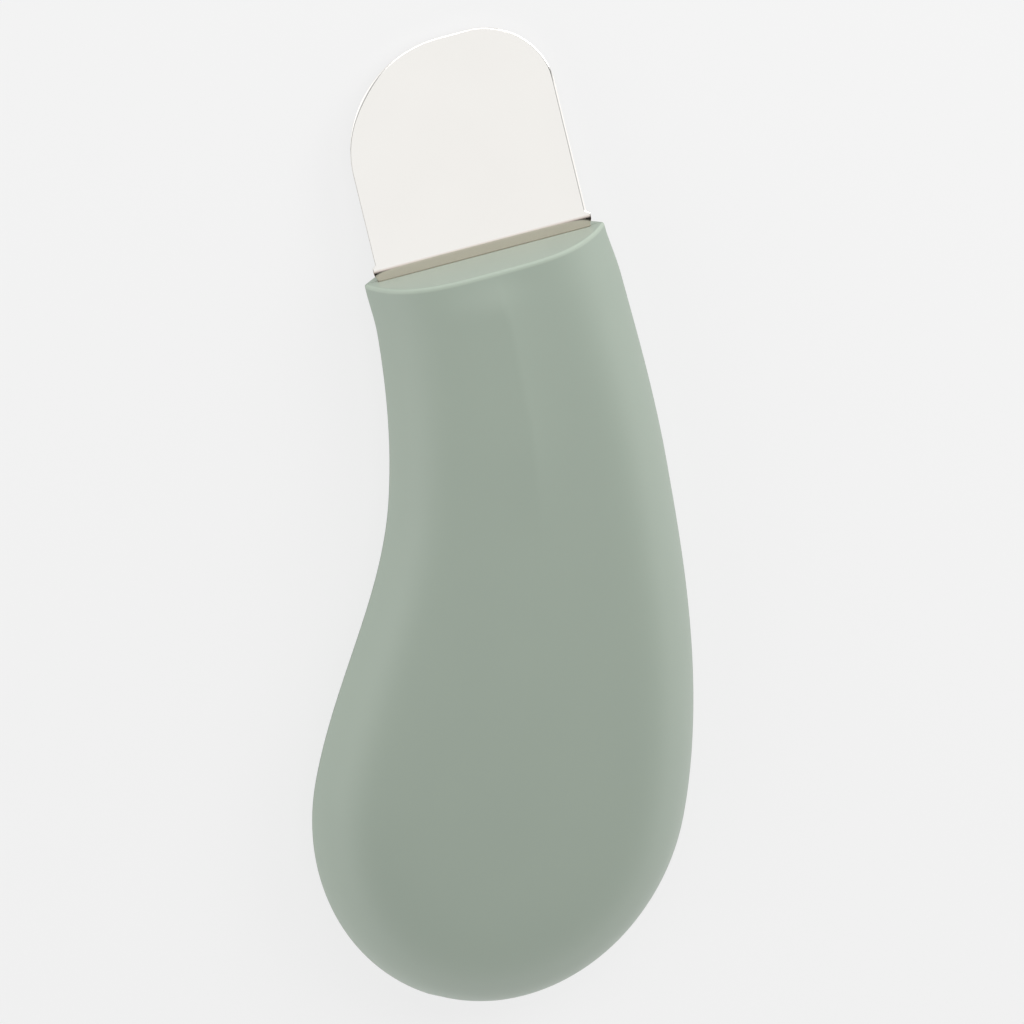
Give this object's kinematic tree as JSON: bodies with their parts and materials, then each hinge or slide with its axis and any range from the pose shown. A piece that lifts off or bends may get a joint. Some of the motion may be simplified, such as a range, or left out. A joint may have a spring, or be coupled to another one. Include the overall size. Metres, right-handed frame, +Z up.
{
  "type": "blackhead extractor",
  "caption": "Handheld skin scrubber: a bent steel spatula blade, driven by a piezo disc, in a curved two-shell plastic handle with a power button.",
  "frame": {"origin": "centre of the footprint, on the flat that the handle lies on", "axes": "+Y from the butt towards the blade, +Z up out of the plain side, +X to the outer side of the handle's bend"},
  "size_m": [0.0602, 0.142, 0.0161],
  "materials": {
    "sage_plastic": "satin, fine moulded grain",
    "button_plastic": "satin",
    "polished_steel": "polished",
    "plain_steel": "plain",
    "silicone": "matt",
    "ceramic": "fired ceramic",
    "red_wire": "insulation",
    "board_green": "solder mask",
    "black_plastic": "moulded",
    "white_plastic": "moulded",
    "cream_plastic": "moulded",
    "ferrite": "pressed ferrite",
    "can_metal": "sleeved can",
    "clear_plastic": "clear moulding",
    "cell_foil": "pouch foil",
    "foam": "foam",
    "socket_metal": "plated sheet"
  },
  "bodies": {
    "handle": {"front_shell": "sage_plastic", "rear_shell": "sage_plastic", "blade": "polished_steel", "blade_seal": "silicone", "tang_grommets": "silicone", "blade_clamp": "plain_steel", "clamp_screws": "plain_steel", "transducer_disc": "ceramic", "transducer_leads": "red_wire", "circuit_board": "board_green", "board_screws": "plain_steel", "control_chip": "black_plastic", "step_up_coil": "ferrite", "smoothing_capacitor": "can_metal", "drive_transistors": "black_plastic", "tact_switch": "black_plastic", "mode_lights": "white_plastic", "light_guide": "clear_plastic", "battery": "cell_foil", "battery_pad": "foam", "battery_leads": "red_wire", "battery_socket": "cream_plastic", "battery_plug": "white_plastic", "charge_socket": "socket_metal", "socket_tongue": "black_plastic", "socket_seal": "silicone"},
    "button": {"button_cap": "button_plastic", "switch_plunger": "white_plastic"}
  },
  "joints": [
    {"name": "button_press", "type": "slide", "parent": "handle", "child": "button", "axis": [0, 0, 1], "range_m": [0, 0.0004], "stiffness_N_per_m": 1200, "springref_m": -0.0005}
  ]
}
